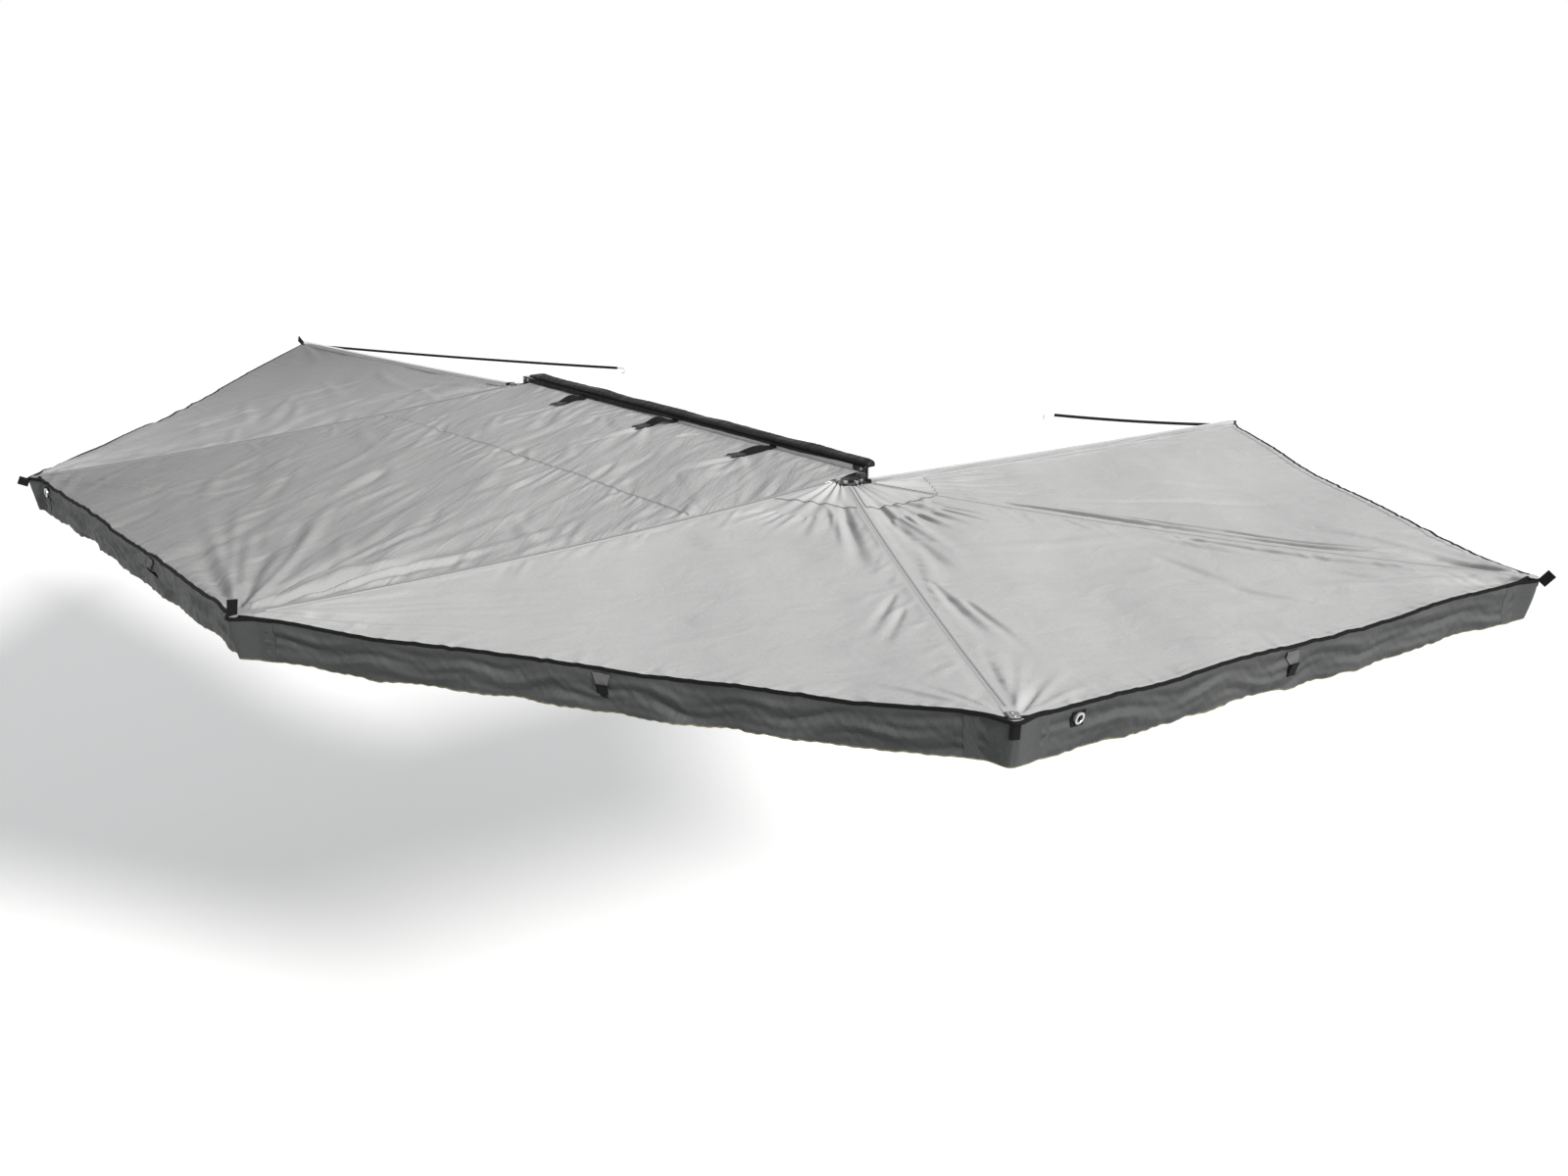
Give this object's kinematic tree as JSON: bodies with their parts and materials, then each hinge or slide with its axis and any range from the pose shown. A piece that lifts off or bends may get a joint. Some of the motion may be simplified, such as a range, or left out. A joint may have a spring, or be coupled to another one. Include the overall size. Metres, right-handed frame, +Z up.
{
  "type": "vehicle side awning",
  "caption": "Freestanding wrap-around side awning, fully open: folding arms fan out from a hinge at each end of a roof rail and hold a pleated fabric canopy with a hanging valance.",
  "frame": {"origin": "centre of the mounting rail's flat back face, midway between the two hinge axes", "axes": "+X along the vehicle to its rear, +Y square out of the rail's back face towards the vehicle, +Z up along the hinge axes"},
  "size_m": [5.9484, 4.0106, 0.2596],
  "materials": {
    "aluminium": "mill, faintly drawn along its length",
    "pale_rail": "anodised, satin",
    "black_steel": "black powder coat, satin",
    "bright_steel": "zinc plated",
    "black_plastic": "moulded, matte",
    "webbing": "black woven webbing",
    "canopy_cloth": "grey coated ripstop, matte",
    "valance_cloth": "dark grey coated cloth, matte",
    "cover_cloth": "black coated heavy cloth, folded"
  },
  "bodies": {
    "root": {"mounting_rail": "aluminium", "keder_rail": "pale_rail", "bracket_front": "black_steel", "bracket_rear": "black_steel", "bracket_bolt_front": "bright_steel", "bracket_bolt_rear": "bright_steel", "hinge_fork_front": "black_steel", "hinge_fork_rear": "black_steel", "pivot_bolt_b": "bright_steel", "pivot_bolt_c": "bright_steel", "travel_cover": "cover_cloth", "cover_strap_1": "webbing", "cover_strap_2": "webbing", "cover_strap_3": "webbing", "cover_buckle_1": "black_plastic", "cover_buckle_2": "black_plastic", "cover_buckle_3": "black_plastic", "canopy_bc": "canopy_cloth", "valance_bc": "valance_cloth", "tension_strap_a": "webbing", "tension_strap_f": "webbing", "strap_hook_a": "bright_steel", "strap_hook_f": "bright_steel"},
    "arm_a": {"arm_tube_a": "aluminium", "knuckle_a": "black_steel", "tip_fitting_a": "black_plastic", "strap_buckle_a": "bright_steel", "canopy_ab": "canopy_cloth", "valance_ab": "valance_cloth"},
    "arm_b": {"arm_tube_b": "aluminium", "knuckle_b": "black_steel", "tip_fitting_b": "black_plastic", "corner_tab_b": "webbing", "pivot_bolt_a": "bright_steel"},
    "arm_c": {"arm_tube_c": "aluminium", "knuckle_c": "black_steel", "tip_fitting_c": "black_plastic", "corner_tab_c": "webbing", "pivot_bolt_d": "bright_steel"},
    "arm_d": {"arm_tube_d": "aluminium", "knuckle_d": "black_steel", "tip_fitting_d": "black_plastic", "corner_tab_d": "webbing", "pivot_bolt_e": "bright_steel", "canopy_cd": "canopy_cloth", "valance_cd": "valance_cloth"},
    "arm_e": {"arm_tube_e": "aluminium", "knuckle_e": "black_steel", "tip_fitting_e": "black_plastic", "corner_tab_e": "webbing", "pivot_bolt_f": "bright_steel", "clamp_knob": "black_plastic", "canopy_de": "canopy_cloth", "valance_de": "valance_cloth"},
    "arm_f": {"arm_tube_f": "aluminium", "knuckle_f": "black_steel", "tip_fitting_f": "black_plastic", "strap_buckle_f": "bright_steel", "canopy_ef": "canopy_cloth", "valance_ef": "valance_cloth"}
  },
  "joints": [
    {"name": "arm_b_swing", "type": "hinge", "parent": "root", "child": "arm_b", "pos_m": [-1.05, -0.06, 0], "axis": [0, 0, 1], "range_deg": [0, 83.5], "deforming": ["canopy_bc", "valance_bc"]},
    {"name": "arm_a_swing", "type": "hinge", "parent": "arm_b", "child": "arm_a", "pos_m": [-1.08378, -0.06385, 0], "axis": [0, 0, 1], "range_deg": [0, 96], "deforming": ["canopy_ab", "valance_ab"]},
    {"name": "arm_c_swing", "type": "hinge", "parent": "root", "child": "arm_c", "pos_m": [1.05, -0.14, 0], "axis": [0, 0, 1], "range_deg": [-90.5, 0], "deforming": ["canopy_bc", "valance_bc"]},
    {"name": "arm_d_swing", "type": "hinge", "parent": "arm_c", "child": "arm_d", "pos_m": [1.084, -0.1397, 0], "axis": [0, 0, 1], "range_deg": [-60.5, 0], "deforming": ["canopy_cd", "valance_cd"]},
    {"name": "arm_e_swing", "type": "hinge", "parent": "arm_d", "child": "arm_e", "pos_m": [1.10048, -0.10997, 0], "axis": [0, 0, 1], "range_deg": [-56, 0], "deforming": ["canopy_de", "valance_de"]},
    {"name": "arm_f_swing", "type": "hinge", "parent": "arm_e", "child": "arm_f", "pos_m": [1.08505, -0.07967, 0], "axis": [0, 0, 1], "range_deg": [-67, 0], "deforming": ["canopy_ef", "valance_ef"]}
  ]
}
